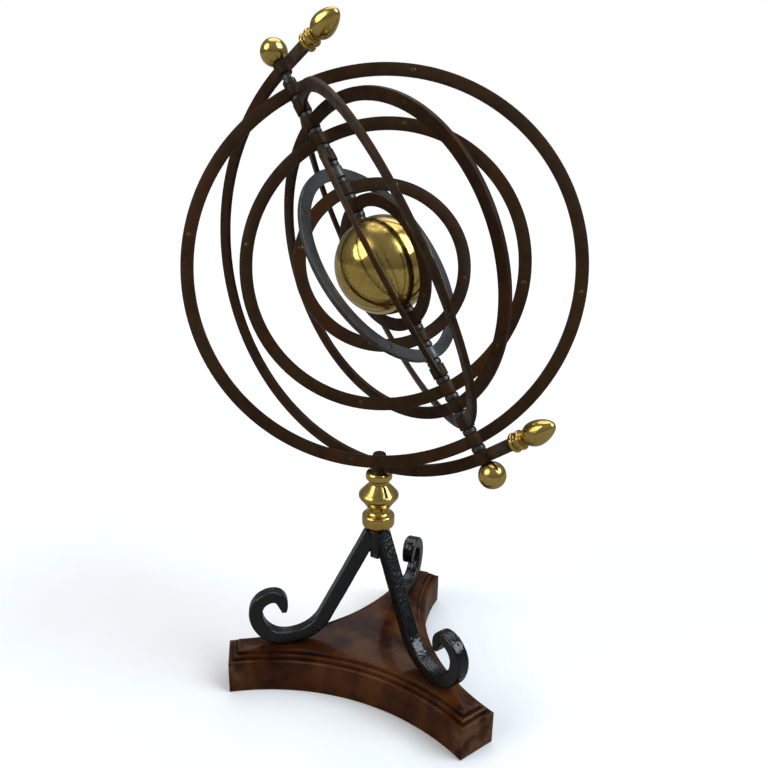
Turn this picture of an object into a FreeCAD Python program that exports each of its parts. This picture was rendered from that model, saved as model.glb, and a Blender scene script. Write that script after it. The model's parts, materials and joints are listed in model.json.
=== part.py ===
import FreeCAD, Part
import math
import os

import Sketcher

# Armillary sphere on a scroll-leg stand.  Millimetres, +Z up.
# Origin: centre of the wooden base's underside.  The meridian arm lies in the XZ plane,
# the low end of the polar rod points to +X.

Vector = FreeCAD.Vector
Rotation = FreeCAD.Rotation
Placement = FreeCAD.Placement
THROUGH = 300.0     # longer than anything that a cutter has to pass through

DRIVING = {
    # polar rod and the stack on it
    "rod_tilt": 35.2, "globe_height": 479.5, "rod_radius": 4.76, "running_bore": 4.84,
    "rod_length": 477.0, "rod_low_end": 235.2,
    "ring_count": 8, "ring_one_outer": 203.2, "ring_pitch": 19.05, "ring_width": 12.7,
    "ring_thickness": 4.8, "boss_radius": 7.94, "boss_length": 12.4,
    "collar_waist": 7.15, "collar_edge": 6.2, "collar_land": 1.4, "collar_shoulder": 4.9,
    "collar_length": 6.3,
    "spot_margin": 0.4, "spot_depth": 1.0,
    "rivet_radius": 2.5, "rivet_proud": 0.25, "rivet_angle": 54.0,
    # brass ball and its bushes
    "ball_radius": 49.2, "ball_wall": 1.6, "ball_drop": 1.5, "ball_hole": 6.4,
    "bush_radius": 6.4, "bush_flange": 10.0, "bush_flange_length": 2.4, "bush_length": 12.0,
    "bush_recess": 0.3, "flange_gap": 0.05,
    # meridian arm
    "arm_inner": 212.7, "arm_outer": 225.4, "arm_rise": 3.175, "arm_overhang": 38.0,
    "arm_boss_length": 12.7, "arm_thickness": 4.8, "arm_bore": 4.8, "swivel_bore": 4.07,
    "ball_finial_radius": 14.0, "finial_seat": 0.6,
    "acorn_stud_radius": 2.0, "acorn_stud_length": 16.0, "acorn_stud_depth": 8.0,
    "acorn_disc_radius": 10.0, "acorn_disc_length": 5.2, "acorn_disc_pitch": 7.5,
    "acorn_groove_radius": 7.2, "acorn_radius": 12.3, "acorn_half_length": 17.0,
    "acorn_middle": 31.5,
    # turned stem, tie rod and its fastenings
    "stem_base": 186.5, "stem_bore": 4.3, "tie_radius": 4.0, "tie_low": 149.0, "tie_length": 123.4,
    "foot_radius": 12.5, "bead_low": 4.6, "bead_high": 18.4, "bead_radius": 17.8,
    "waist_radius": 12.2, "waist_low": 20.6, "waist_high": 23.6, "crease_radius": 15.1,
    "crease_height": 29.5, "belly_radius": 21.9, "belly_low": 37.6, "belly_high": 44.6,
    "neck_radius": 10.8, "neck_low": 56.4, "neck_high": 58.2, "lip_radius": 14.6, "lip_low": 59.6,
    "lip_high": 67.8, "stem_height": 68.6,
    "washer_radius": 8.5, "washer_thickness": 1.5,
    "cap_radius": 7.3, "cap_shoulder": 4.8, "cap_crown": 4.4, "cap_height": 8.2, "cap_thread": 3.6,
    "cap_gap": 0.1,
    # leg hub
    "hub_radius": 12.0, "hub_height": 26.4, "hub_nut_circle": 9.2, "hub_nut_height": 8.0,
    # scroll legs: a square bar on a spiral of quarter turns
    "leg_bar": 14.3, "leg_slope": 62.5, "leg_start": 196.4,
    "sweep_radius": 50.6, "scroll_radius": 33.6, "curl_radius": 20.7,
    "curl_top_thickness": 11.0, "tip_reach": 12.6, "tip_drop": 27.0, "tip_thickness": 2.4,
    "tip_outer_reach": 10.84, "tip_outer_drop": 8.64, "tip_inner_reach": 8.32, "tip_inner_drop": 8.1,
    "screw_radius": 3.0, "screw_hole_radius": 3.2, "screw_bite": 9.0,
    "screw_head_radius": 6.0, "screw_head_height": 4.0,
    "counterbore_radius": 7.5, "counterbore_depth": 14.0,
    # wooden base: three truncated arms with hollow sides, in three tiers
    "base_turn": -16.4, "base_reach": 170.0, "base_disc": 176.0, "side_radius": 245.0,
    "side_centre": 308.5, "block_height": 38.0, "block_ledge": 0.0, "lower_ledge": 5.5, "upper_ledge": 10.5,
    "lower_step_top": 42.5, "base_height": 47.0,
    # where each ring is turned to at rest, in degrees about the polar rod
    "turn_one": 38.0, "turn_two": 135.1, "turn_three": 163.2, "turn_four": 33.7,
    "turn_five": 121.5, "turn_six": 92.5, "turn_seven": 47.9, "turn_eight": 160.2,
}
NUMBER_WORDS = ["one", "two", "three", "four", "five", "six", "seven", "eight"]

doc = FreeCAD.newDocument("armillary_sphere")
sheet = doc.addObject("Spreadsheet::Sheet", "dims")
for row, (alias, value) in enumerate(DRIVING.items(), start=1):
    sheet.set("A%d" % row, alias)
    sheet.set("B%d" % row, str(value))
    sheet.setAlias("B%d" % row, alias)
doc.recompute()

NODES = []


def size(alias):
    """The value of one cell of the sheet."""
    return float(sheet.get(alias))


def bind(thing, prop, formula):
    """Bind a property to a formula in the sheet's aliases, each written as dims.alias."""
    thing.setExpression(prop, formula)


def node(thing, label, placement=None):
    """Give a finished sub-part its name and its place."""
    thing.Label = label
    if placement is not None:
        thing.Placement = placement
    NODES.append(thing)
    return thing


def turn_about_z(angle):
    return Placement(Vector(0, 0, 0), Rotation(Vector(0, 0, 1), angle))


def lift(height):
    return Placement(Vector(0, 0, height), Rotation())


# local frame of everything on the rod: origin at the globe's centre, Z up the rod
def on_rod(station=0.0, turn=0.0):
    tilt = Rotation(Vector(0, 1, 0), -size("rod_tilt"))
    frame = Placement(Vector(0, 0, size("globe_height")), tilt)
    return frame * turn_about_z(turn) * lift(station)


# ---------------------------------------------------------------- sketch helpers
def new_body(name):
    return doc.addObject("PartDesign::Body", name)


def sketch_on(body, plane_role):
    plane = [item for item in body.Origin.OriginFeatures if item.Role == plane_role][0]
    sketch = body.newObject("Sketcher::SketchObject", body.Name + "_sketch")
    sketch.AttachmentSupport = (plane, [""])
    sketch.MapMode = "FlatFace"
    return sketch


def named_constraint(sketch, name, formula, *constraint):
    index = sketch.addConstraint(Sketcher.Constraint(*constraint))
    sketch.renameConstraint(index, name)
    bind(sketch, "Constraints." + name, formula)


def add_circle(sketch, name, radius_formula, centre=(0.0, 0.0), rough_radius=10.0):
    """A circle whose centre is fixed where it is put and whose radius follows the sheet."""
    circle = Part.Circle(Vector(centre[0], centre[1], 0), Vector(0, 0, 1), rough_radius)
    index = sketch.addGeometry(circle, False)
    sketch.addConstraint(Sketcher.Constraint("DistanceX", index, 3, centre[0]))
    sketch.addConstraint(Sketcher.Constraint("DistanceY", index, 3, centre[1]))
    named_constraint(sketch, name, radius_formula, "Radius", index, rough_radius)


def add_outline(sketch, corners):
    """A closed outline of straight sides; each corner is (x, y) as two formulas."""
    count = len(corners)
    first = sketch.GeometryCount
    for index in range(count):
        start = Vector(index + 1, index * index, 0)
        after = (index + 1) % count
        end = Vector(after + 1, after * after, 0)
        sketch.addGeometry(Part.LineSegment(start, end), False)
    for index in range(count):
        after = first + (index + 1) % count
        sketch.addConstraint(Sketcher.Constraint("Coincident", first + index, 2, after, 1))
    for index, (across, along) in enumerate(corners):
        tag = "corner%d" % (first + index)
        named_constraint(sketch, tag + "x", across, "DistanceX", first + index, 1, 1.0 + index)
        named_constraint(sketch, tag + "y", along, "DistanceY", first + index, 1, 1.0 + index)


def add_box_outline(sketch, low_x, high_x, low_y, high_y):
    add_outline(sketch, [(low_x, low_y), (high_x, low_y), (high_x, high_y), (low_x, high_y)])


def revolve(body, sketch, kind="PartDesign::Revolution"):
    """Turn a sketch about its vertical axis, adding (Revolution) or cutting (Groove)."""
    feature = body.newObject(kind, body.Name + "_turned")
    feature.Profile = sketch
    feature.ReferenceAxis = (sketch, ["V_Axis"])
    feature.Angle = 360.0
    return feature


def pad_both_ways(body, sketch, length_formula):
    feature = body.newObject("PartDesign::Pad", body.Name + "_pad")
    feature.Profile = sketch
    feature.SideType = "Symmetric"
    bind(feature, "Length", length_formula)
    return feature


def cut_both_ways(body, sketch, length_formula):
    feature = body.newObject("PartDesign::Pocket", body.Name + "_cut")
    feature.Profile = sketch
    feature.SideType = "Symmetric"
    bind(feature, "Length", length_formula)
    return feature


def circle_edges(shape, radius, height):
    """Names of the level circular edges of one radius at one height."""
    names = []
    for index, edge in enumerate(shape.Edges, start=1):
        if isinstance(edge.Curve, Part.Circle) and abs(edge.Curve.Radius - radius) < 0.01:
            if abs(edge.Curve.Center.z - height) < 0.01:
                names.append("Edge%d" % index)
    return names


def round_edges(body, base, edge_names, radius):
    fillet = body.newObject("PartDesign::Fillet", body.Name + "_round")
    fillet.Base = (base, edge_names)
    fillet.Radius = radius
    return fillet


def turned_piece(label, corners, placement, rounds=()):
    """A lathe-turned piece.  A corner is (radius, height); a round is (radius, height, size)."""
    body = new_body(label + "_body")
    sketch = sketch_on(body, "XZ_Plane")
    formulas = [tuple("0" if name == "zero" else "dims." + name for name in corner) for corner in corners]
    add_outline(sketch, formulas)
    last = revolve(body, sketch)
    doc.recompute()
    for radius_name, height_name, corner_size in rounds:
        edges = circle_edges(last.Shape, size(radius_name), size(height_name))
        last = round_edges(body, last, edges, corner_size)
        doc.recompute()
    return node(body, label, placement)


# ---------------------------------------------------------------- primitive helpers
def cylinder(name, radius_formula, height_formula, placement):
    solid = doc.addObject("Part::Cylinder", name)
    bind(solid, "Radius", radius_formula)
    bind(solid, "Height", height_formula)
    solid.Placement = placement
    return solid


def sphere(name, radius_formula, placement):
    solid = doc.addObject("Part::Sphere", name)
    bind(solid, "Radius", radius_formula)
    solid.Placement = placement
    return solid


def rod_drill(name, radius_formula):
    """A long cylinder on the rod's axis, for boring what sits on the rod."""
    return cylinder(name, radius_formula, str(2 * THROUGH), on_rod(-THROUGH))


def join(name, solids):
    fused = doc.addObject("Part::MultiFuse", name)
    fused.Shapes = solids
    return fused


def cut(name, base, tool):
    result = doc.addObject("Part::Cut", name)
    result.Base = base
    result.Tool = tool
    return result


# ---------------------------------------------------------------- wooden base
def base_tier(name, ledge, low, high_formula):
    """One tier: a disc with three hollow sides and three flat ends, all inset by one ledge."""
    disc = cylinder(name + "_disc", "dims.base_disc", high_formula, lift(low))
    cutters = []
    for side in range(3):
        middle = size("base_turn") + 60 + 120 * side
        bite_place = turn_about_z(middle) * Placement(Vector(size("side_centre"), 0, low), Rotation())
        cutters.append(cylinder("%s_bite_%d" % (name, side), "dims.side_radius + dims." + ledge,
                                high_formula, bite_place))
        block = doc.addObject("Part::Box", "%s_end_%d" % (name, side))
        bind(block, "Length", "dims.base_disc")
        bind(block, "Width", "2*dims.base_disc")
        bind(block, "Height", high_formula)
        arm = size("base_turn") + 120 * side
        corner = Vector(size("base_reach") - size(ledge), -size("base_disc"), low)
        block.Placement = turn_about_z(arm) * Placement(corner, Rotation())
        cutters.append(block)
    return cut(name, disc, join(name + "_cutters", cutters))


def make_base():
    block = base_tier("block_tier", "block_ledge", 0, "dims.block_height")
    lower = base_tier("lower_tier", "lower_ledge", size("block_height"),
                      "dims.lower_step_top - dims.block_height")
    upper = base_tier("upper_tier", "upper_ledge", size("lower_step_top"),
                      "dims.base_height - dims.lower_step_top")
    tiers = join("base_tiers", [block, lower, upper])
    holes = []
    for leg in range(3):
        place = turn_about_z(size("base_turn") + 120 * leg)
        place = place * Placement(Vector(leg_foot_reach(), 0, 0), Rotation())
        holes.append(cylinder("screw_hole_%d" % leg, "dims.screw_hole_radius", "dims.base_height", place))
        holes.append(cylinder("counterbore_%d" % leg, "dims.counterbore_radius",
                              "dims.counterbore_depth", place))
    node(cut("base_with_holes", tiers, join("base_holes", holes)), "wooden_base")


# ---------------------------------------------------------------- scroll legs
def leg_path():
    """Centre line: straight run, sweep to level, scroll up, curl over.  Returns its key points."""
    slope = math.radians(size("leg_slope"))
    sweep = size("sweep_radius")
    low = size("base_height") + size("leg_bar") / 2
    start = Vector(0, size("leg_start"), 0)
    drop = start.y - low - sweep * (1 - math.cos(slope))
    bend = Vector(drop / math.tan(slope), start.y - drop, 0)
    foot = Vector(bend.x + sweep * math.sin(slope), low, 0)
    side = Vector(foot.x + size("scroll_radius"), low + size("scroll_radius"), 0)
    top = Vector(side.x - size("curl_radius"), side.y + size("curl_radius"), 0)
    return start, bend, foot, side, top


def leg_foot_reach():
    return leg_path()[2].x


def arc_between(start, end, centre, bulge):
    """Arc from start to end through the point at the given radius in the middle direction."""
    middle = (start - centre).normalize() + (end - centre).normalize()
    return Part.Arc(start, centre + middle.normalize() * bulge, end)


def leg_outline():
    half = size("leg_bar") / 2
    slope = math.radians(size("leg_slope"))
    start, bend, foot, side, top = leg_path()
    normal = Vector(math.sin(slope), math.cos(slope), 0)
    sweep_centre = foot + Vector(0, size("sweep_radius"), 0)
    scroll_centre = foot + Vector(0, size("scroll_radius"), 0)
    curl_centre = side - Vector(size("curl_radius"), 0, 0)
    crown = top + Vector(0, size("curl_top_thickness") / 2, 0)
    under = top - Vector(0, size("curl_top_thickness") / 2, 0)
    tip_centre = Vector(top.x, crown.y - size("tip_drop"), 0)
    tip_out = tip_centre - Vector(size("tip_reach"), 0, 0)
    tip_in = tip_out + Vector(size("tip_thickness"), 0, 0)
    outer_mid = crown - Vector(size("tip_outer_reach"), size("tip_outer_drop"), 0)
    inner_mid = under - Vector(size("tip_inner_reach"), size("tip_inner_drop"), 0)
    curl_mean = (half + size("curl_top_thickness") / 2) / 2
    return [
        Part.LineSegment(start - normal * half, bend - normal * half),
        arc_between(bend - normal * half, foot - Vector(0, half, 0), sweep_centre,
                    size("sweep_radius") + half),
        arc_between(foot - Vector(0, half, 0), side + Vector(half, 0, 0), scroll_centre,
                    size("scroll_radius") + half),
        arc_between(side + Vector(half, 0, 0), crown, curl_centre, size("curl_radius") + curl_mean),
        Part.Arc(crown, outer_mid, tip_out),
        Part.LineSegment(tip_out, tip_in),
        Part.Arc(tip_in, inner_mid, under),
        arc_between(under, side - Vector(half, 0, 0), curl_centre, size("curl_radius") - curl_mean),
        arc_between(side - Vector(half, 0, 0), foot + Vector(0, half, 0), scroll_centre,
                    size("scroll_radius") - half),
        arc_between(foot + Vector(0, half, 0), bend + normal * half, sweep_centre,
                    size("sweep_radius") - half),
        Part.LineSegment(bend + normal * half, start + normal * half),
        Part.LineSegment(start + normal * half, start - normal * half),
    ]


def make_leg(name, azimuth):
    """A leg in the XZ plane of its own body, mitred to the hub and the stem's underside."""
    body = new_body(name + "_body")
    sketch = sketch_on(body, "XZ_Plane")
    for edge in leg_outline():
        sketch.addGeometry(edge, False)
    pad_both_ways(body, sketch, "dims.leg_bar")
    doc.recompute()
    hub_cut = body.newObject("PartDesign::SubtractiveCylinder", name + "_hub_cut")
    bind(hub_cut, "Radius", "dims.hub_radius")
    hub_cut.Height = THROUGH
    doc.recompute()
    top_cut = body.newObject("PartDesign::SubtractiveCylinder", name + "_top_cut")
    bind(top_cut, "Radius", "dims.leg_start")
    bind(top_cut, "Height", "dims.leg_start")
    top_cut.Placement = lift(size("stem_base"))
    doc.recompute()
    tapping = body.newObject("PartDesign::SubtractiveCylinder", name + "_tapping")
    bind(tapping, "Radius", "dims.screw_radius")
    bind(tapping, "Height", "dims.screw_bite")
    tapping.Placement = Placement(Vector(leg_foot_reach(), 0, size("base_height")), Rotation())
    node(body, name, turn_about_z(azimuth))


def make_leg_screws():
    """One screw under each leg, up through the base, as a group of separate solids."""
    screws = []
    for leg in range(3):
        place = turn_about_z(size("base_turn") + 120 * leg)
        place = place * Placement(Vector(leg_foot_reach(), 0, size("counterbore_depth")), Rotation())
        head_place = place * lift(-size("screw_head_height"))
        shank = cylinder("shank_%d" % leg, "dims.screw_radius",
                         "dims.base_height - dims.counterbore_depth + dims.screw_bite", place)
        head = cylinder("head_%d" % leg, "dims.screw_head_radius", "dims.screw_head_height", head_place)
        screws.append(join("screw_%d" % leg, [shank, head]))
    group = doc.addObject("Part::Compound", "screws")
    group.Links = screws
    node(group, "leg_screws")


# ---------------------------------------------------------------- stem, hub and tie rod
def make_hub():
    hub = cylinder("hub_body", "dims.hub_radius", "dims.hub_height", lift(hub_bottom()))
    bore = cylinder("hub_bore", "dims.tie_radius", "dims.hub_height", lift(hub_bottom()))
    node(cut("hub_bored", hub, bore), "leg_hub")
    nut = doc.addObject("Part::Prism", "hub_nut_body")
    nut.Polygon = 6
    bind(nut, "Circumradius", "dims.hub_nut_circle")
    bind(nut, "Height", "dims.hub_nut_height")
    nut.Placement = lift(hub_bottom() - size("hub_nut_height"))
    thread = cylinder("hub_nut_thread", "dims.tie_radius", "dims.hub_nut_height",
                      lift(hub_bottom() - size("hub_nut_height")))
    node(cut("hub_nut_bored", nut, thread), "hub_nut")


def hub_bottom():
    return size("stem_base") - size("hub_height")


def arm_underside():
    """Height of the arm's boss where it stands over the stem."""
    rise = size("arm_rise") * math.cos(math.radians(size("rod_tilt")))
    return size("globe_height") + rise - size("arm_outer")


def make_stem():
    turned_piece("brass_stem", [
        ("stem_bore", "zero"), ("foot_radius", "zero"), ("bead_radius", "bead_low"),
        ("bead_radius", "bead_high"), ("waist_radius", "waist_low"), ("waist_radius", "waist_high"),
        ("crease_radius", "crease_height"), ("belly_radius", "belly_low"),
        ("belly_radius", "belly_high"), ("neck_radius", "neck_low"), ("neck_radius", "neck_high"),
        ("lip_radius", "lip_low"), ("lip_radius", "lip_high"), ("washer_radius", "stem_height"),
        ("stem_bore", "stem_height")],
        lift(size("stem_base")),
        rounds=[("bead_radius", "bead_low", 5.0), ("bead_radius", "bead_high", 5.0),
                ("belly_radius", "belly_low", 3.0), ("belly_radius", "belly_high", 3.0),
                ("lip_radius", "lip_low", 3.0), ("lip_radius", "lip_high", 3.0)])
    washer_at = size("stem_base") + size("stem_height")
    turned_piece("stem_washer", [
        ("stem_bore", "zero"), ("washer_radius", "zero"), ("washer_radius", "washer_thickness"),
        ("stem_bore", "washer_thickness")], lift(washer_at))
    turned_piece("cap_nut", [
        ("tie_radius", "zero"), ("cap_radius", "zero"), ("cap_radius", "cap_shoulder"),
        ("cap_crown", "cap_height"), ("zero", "cap_height"), ("zero", "cap_thread"),
        ("tie_radius", "cap_thread")], lift(arm_underside() + size("arm_boss_length") + size("cap_gap")),
        rounds=[("cap_radius", "cap_shoulder", 1.2), ("cap_crown", "cap_height", 1.0)])
    node(cylinder("tie_rod_body", "dims.tie_radius", "dims.tie_length", lift(size("tie_low"))), "tie_rod")


# ---------------------------------------------------------------- meridian arm and polar rod
def make_arm():
    """Half ring below the rod with straight ends past it, two rod bosses and a stem boss."""
    body = new_body("arm_body")
    ring = sketch_on(body, "XZ_Plane")
    middle = (0.0, size("arm_rise"))
    add_circle(ring, "outer", "dims.arm_outer", middle, size("arm_outer"))
    add_circle(ring, "inner", "dims.arm_inner", middle, size("arm_inner"))
    pad_both_ways(body, ring, "dims.arm_thickness")
    doc.recompute()
    open_side = sketch_on(body, "XZ_Plane")
    add_box_outline(open_side, "0", str(THROUGH), str(-THROUGH), str(THROUGH))
    cut_both_ways(body, open_side, "2*dims.arm_thickness")
    doc.recompute()
    for sign in ("+", "-"):
        end = sketch_on(body, "XZ_Plane")
        levels = ["dims.arm_rise %s dims.arm_inner" % sign, "dims.arm_rise %s dims.arm_outer" % sign]
        if sign == "-":
            levels.reverse()
        add_box_outline(end, "-1", "dims.arm_overhang", levels[0], levels[1])
        pad_both_ways(body, end, "dims.arm_thickness")
        doc.recompute()
    bosses = sketch_on(body, "XZ_Plane")
    for sign in ("+", "-"):
        centre = "dims.arm_rise %s (dims.arm_inner + dims.arm_outer)/2" % sign
        add_box_outline(bosses, "0", "dims.boss_radius", centre + " - dims.arm_boss_length/2",
                        centre + " + dims.arm_boss_length/2")
    revolve(body, bosses)
    doc.recompute()
    spot_face(body, [("dims.arm_rise + dims.arm_inner", 1), ("dims.arm_rise - dims.arm_inner", -1)])
    bore_along_rod(body, "dims.arm_bore")
    stem_boss_features = (
        ("Additive", "dims.boss_radius", "dims.arm_boss_length", 0.0),
        ("Subtractive", "dims.boss_radius + dims.spot_margin", "dims.spot_depth", size("arm_boss_length")),
        ("Subtractive", "dims.swivel_bore", "3*dims.arm_boss_length", -size("arm_boss_length")))
    for kind, radius, length, start in stem_boss_features:
        stem_boss = body.newObject("PartDesign::%sCylinder" % kind, "stem_boss_" + kind)
        bind(stem_boss, "Radius", radius)
        bind(stem_boss, "Height", length)
        stem_boss.Placement = on_rod().inverse() * lift(arm_underside() + start)
        doc.recompute()
    for sign in (1, -1):
        socket = body.newObject("PartDesign::SubtractiveCylinder", "acorn_socket")
        bind(socket, "Radius", "dims.acorn_stud_radius")
        bind(socket, "Height", "2*dims.acorn_stud_depth")
        socket.Placement = acorn_place(sign) * lift(-size("acorn_stud_depth"))
        doc.recompute()
    node(body, "meridian_arm", on_rod())


def spot_face(body, faces):
    """Face the band flush with its bosses.  Each face is (its station, the way out from the centre)."""
    spots = sketch_on(body, "XZ_Plane")
    for station, outward in faces:
        inner = "%s %s dims.spot_depth" % (station, "-" if outward > 0 else "+")
        low, high = (inner, station) if outward > 0 else (station, inner)
        add_box_outline(spots, "0", "dims.boss_radius + dims.spot_margin", low, high)
    revolve(body, spots, "PartDesign::Groove")
    doc.recompute()


def bore_along_rod(body, radius_formula):
    bore = sketch_on(body, "XZ_Plane")
    add_box_outline(bore, "0", radius_formula, str(-THROUGH), str(THROUGH))
    revolve(body, bore, "PartDesign::Groove")
    doc.recompute()


def acorn_place(sign):
    """Where an acorn finial starts, in the rod's frame: on the arm's end, pointing to +X."""
    mean = (size("arm_inner") + size("arm_outer")) / 2
    point = Vector(size("arm_overhang"), 0, size("arm_rise") + sign * mean)
    return Placement(point, Rotation(Vector(0, 1, 0), 90))


def make_rod():
    low_end = on_rod(-size("rod_low_end"))
    node(cylinder("rod_body", "dims.rod_radius", "dims.rod_length", low_end), "polar_rod")


def make_ball_finial(name, sign):
    """A drilled ball screwed on the rod's end against the arm's boss."""
    mean = (size("arm_inner") + size("arm_outer")) / 2
    face = size("arm_rise") + sign * (mean + size("arm_boss_length") / 2)
    centre = face + sign * (size("ball_finial_radius") - size("finial_seat"))
    ball = sphere(name + "_ball", "dims.ball_finial_radius", on_rod(centre))
    flat_low = face if sign < 0 else face - size("ball_finial_radius")
    flat = cylinder(name + "_flat", "dims.ball_finial_radius", "dims.ball_finial_radius", on_rod(flat_low))
    thread = cylinder(name + "_thread", "dims.rod_radius", "dims.rod_length", on_rod(-size("rod_low_end")))
    node(cut(name + "_drilled", ball, join(name + "_cutters", [flat, thread])), name)


def make_acorn_finial(name, sign):
    """Two discs and an acorn on one core, with the stud that screws into the arm's end."""
    place = on_rod() * acorn_place(sign)
    core = cylinder(name + "_core", "dims.acorn_groove_radius", "dims.acorn_middle", place)
    first = cylinder(name + "_first_disc", "dims.acorn_disc_radius", "dims.acorn_disc_length", place)
    second = cylinder(name + "_second_disc", "dims.acorn_disc_radius", "dims.acorn_disc_length",
                      place * lift(size("acorn_disc_pitch")))
    nut = doc.addObject("Part::Ellipsoid", name + "_nut")
    bind(nut, "Radius1", "dims.acorn_half_length")
    bind(nut, "Radius2", "dims.acorn_radius")
    bind(nut, "Radius3", "dims.acorn_radius")
    nut.Placement = place * lift(size("acorn_middle"))
    stud = cylinder(name + "_stud", "dims.acorn_stud_radius", "dims.acorn_stud_length",
                    place * lift(-size("acorn_stud_depth")))
    node(join(name + "_body", [core, first, second, nut, stud]), name)


# ---------------------------------------------------------------- rings, rivets and collars
def ring_outer(number):
    return size("ring_one_outer") - size("ring_pitch") * (number - 1)


def ring_station(number):
    """Distance from the globe's centre to the middle of a ring's boss, along the rod."""
    return ring_outer(number) - size("ring_width") / 2


def make_ring(number):
    """A flat ring in the plane of the rod, with a bored boss at each pole and four rivet holes."""
    body = new_body("ring_%d_body" % number)
    steps = "dims.ring_pitch*%d" % (number - 1)
    outer = "dims.ring_one_outer - " + steps
    inner = outer + " - dims.ring_width"
    flat = sketch_on(body, "XZ_Plane")
    add_circle(flat, "outer", outer, rough_radius=ring_outer(number))
    add_circle(flat, "inner", inner, rough_radius=ring_outer(number) - size("ring_width"))
    pad_both_ways(body, flat, "dims.ring_thickness")
    doc.recompute()
    bosses = sketch_on(body, "XZ_Plane")
    middle = "(%s - dims.ring_width/2)" % outer
    for sign in ("", "-"):
        low = "%s%s - dims.boss_length/2" % (sign, middle)
        high = "%s%s + dims.boss_length/2" % (sign, middle)
        add_box_outline(bosses, "0", "dims.boss_radius", low, high)
    revolve(body, bosses)
    doc.recompute()
    spot_face(body, [(middle + " - dims.boss_length/2", 1), ("-" + middle + " + dims.boss_length/2", -1)])
    bore_along_rod(body, "dims.running_bore")
    holes = sketch_on(body, "XZ_Plane")
    for index, centre in enumerate(rivet_centres(number)):
        add_circle(holes, "hole%d" % index, "dims.rivet_radius", centre, size("rivet_radius"))
    cut_both_ways(body, holes, "2*dims.ring_thickness")
    doc.recompute()
    node(body, "ring_%d" % number, on_rod(turn=ring_turn(number)))


def ring_turn(number):
    return size("turn_" + NUMBER_WORDS[number - 1])


def rivet_centres(number):
    """The four rivets of a ring, in its plane: across the rod, then along it."""
    centres = []
    for quarter in range(4):
        angle = math.radians(size("rivet_angle") + 90 * quarter)
        centres.append((ring_station(number) * math.cos(angle), ring_station(number) * math.sin(angle)))
    return centres


def make_ring_rivets(number):
    rivets = []
    length = size("ring_thickness") + 2 * size("rivet_proud")
    across_ring = Rotation(Vector(1, 0, 0), 90)
    for index, (across, along) in enumerate(rivet_centres(number)):
        local = Placement(Vector(across, length / 2, along), across_ring)
        rivets.append(cylinder("rivet_%d_%d" % (number, index), "dims.rivet_radius",
                               "dims.ring_thickness + 2*dims.rivet_proud",
                               on_rod(turn=ring_turn(number)) * local))
    group = doc.addObject("Part::Compound", "rivets_%d" % number)
    group.Links = rivets
    node(group, "ring_%d_rivets" % number)


def make_collar(name, centre):
    """A barrel-shaped spacer: its rim swells to the waist radius between two narrow lands."""
    turned_piece(name, [
        ("running_bore", "zero"), ("collar_edge", "zero"), ("collar_waist", "collar_land"),
        ("collar_waist", "collar_shoulder"), ("collar_edge", "collar_length"),
        ("running_bore", "collar_length")], on_rod(centre - size("collar_length") / 2))


def make_collars():
    """Nine spacers below the ball and nine above it, one outside each ring and one by the ball."""
    for index in range(int(size("ring_count")) + 1):
        gap_middle = ring_outer(index + 1) + (size("ring_pitch") - size("ring_width")) / 2
        make_collar("lower_collar_%d" % (index + 1), -gap_middle)
        make_collar("upper_collar_%d" % (index + 1), gap_middle)


# ---------------------------------------------------------------- brass ball
def make_ball():
    place = on_rod(-size("ball_drop"))
    skin = sphere("ball_outside", "dims.ball_radius", place)
    hollow = sphere("ball_inside", "dims.ball_radius - dims.ball_wall", place)
    holes = rod_drill("ball_holes", "dims.ball_hole")
    node(cut("ball_shell", skin, join("ball_cutters", [hollow, holes])), "brass_ball")


def make_ball_bushes():
    """A flanged bush in each pole of the ball, flange inside, end just within the ball's pole."""
    bushes = []
    for name, sign in (("low_bush", -1), ("high_bush", 1)):
        mouth = sign * (size("ball_radius") - size("bush_recess"))
        inner = mouth - sign * size("bush_length")
        flange_far = sign * (flange_seat() - size("bush_flange_length"))
        tube = cylinder(name + "_tube", "dims.bush_radius", "dims.bush_length",
                        on_rod(min(mouth, inner) - size("ball_drop")))
        flange = cylinder(name + "_flange", "dims.bush_flange", "dims.bush_flange_length",
                          on_rod(min(sign * flange_seat(), flange_far) - size("ball_drop")))
        bore = rod_drill(name + "_bore", "dims.running_bore")
        bushes.append(cut(name, join(name + "_solid", [tube, flange]), bore))
    group = doc.addObject("Part::Compound", "bushes")
    group.Links = bushes
    node(group, "ball_bushes")


def flange_seat():
    """How far from the ball's centre a bush's flange can sit inside the shell."""
    inside = size("ball_radius") - size("ball_wall")
    return math.sqrt(inside ** 2 - size("bush_flange") ** 2) - size("flange_gap")


make_base()
for leg, name in enumerate(("leg_front", "leg_rear", "leg_left")):
    make_leg(name, size("base_turn") + 120 * leg)
make_leg_screws()
make_hub()
make_stem()
make_arm()
make_rod()
for name, sign in (("upper", 1), ("lower", -1)):
    make_ball_finial(name + "_ball_finial", sign)
    make_acorn_finial(name + "_acorn_finial", sign)
for number in range(1, int(size("ring_count")) + 1):
    make_ring(number)
    make_ring_rivets(number)
make_collars()
make_ball()
make_ball_bushes()
doc.recompute()

for thing in doc.Objects:
    if "Invalid" in thing.State or "Error" in thing.State:
        raise RuntimeError("failed: %s %s" % (thing.Label, thing.State))
os.makedirs("parts", exist_ok=True)
for thing in NODES:
    if thing.Shape.isNull() or not thing.Shape.isValid():
        raise RuntimeError("bad shape: " + thing.Label)
    thing.Shape.exportStep(os.path.join("parts", thing.Label + ".step"))
    print("%-22s solids %d  volume %.0f" % (thing.Label, len(thing.Shape.Solids), thing.Shape.Volume))
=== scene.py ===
import json
import math

import bmesh
import bpy
from mathutils import Matrix, Vector


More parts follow.
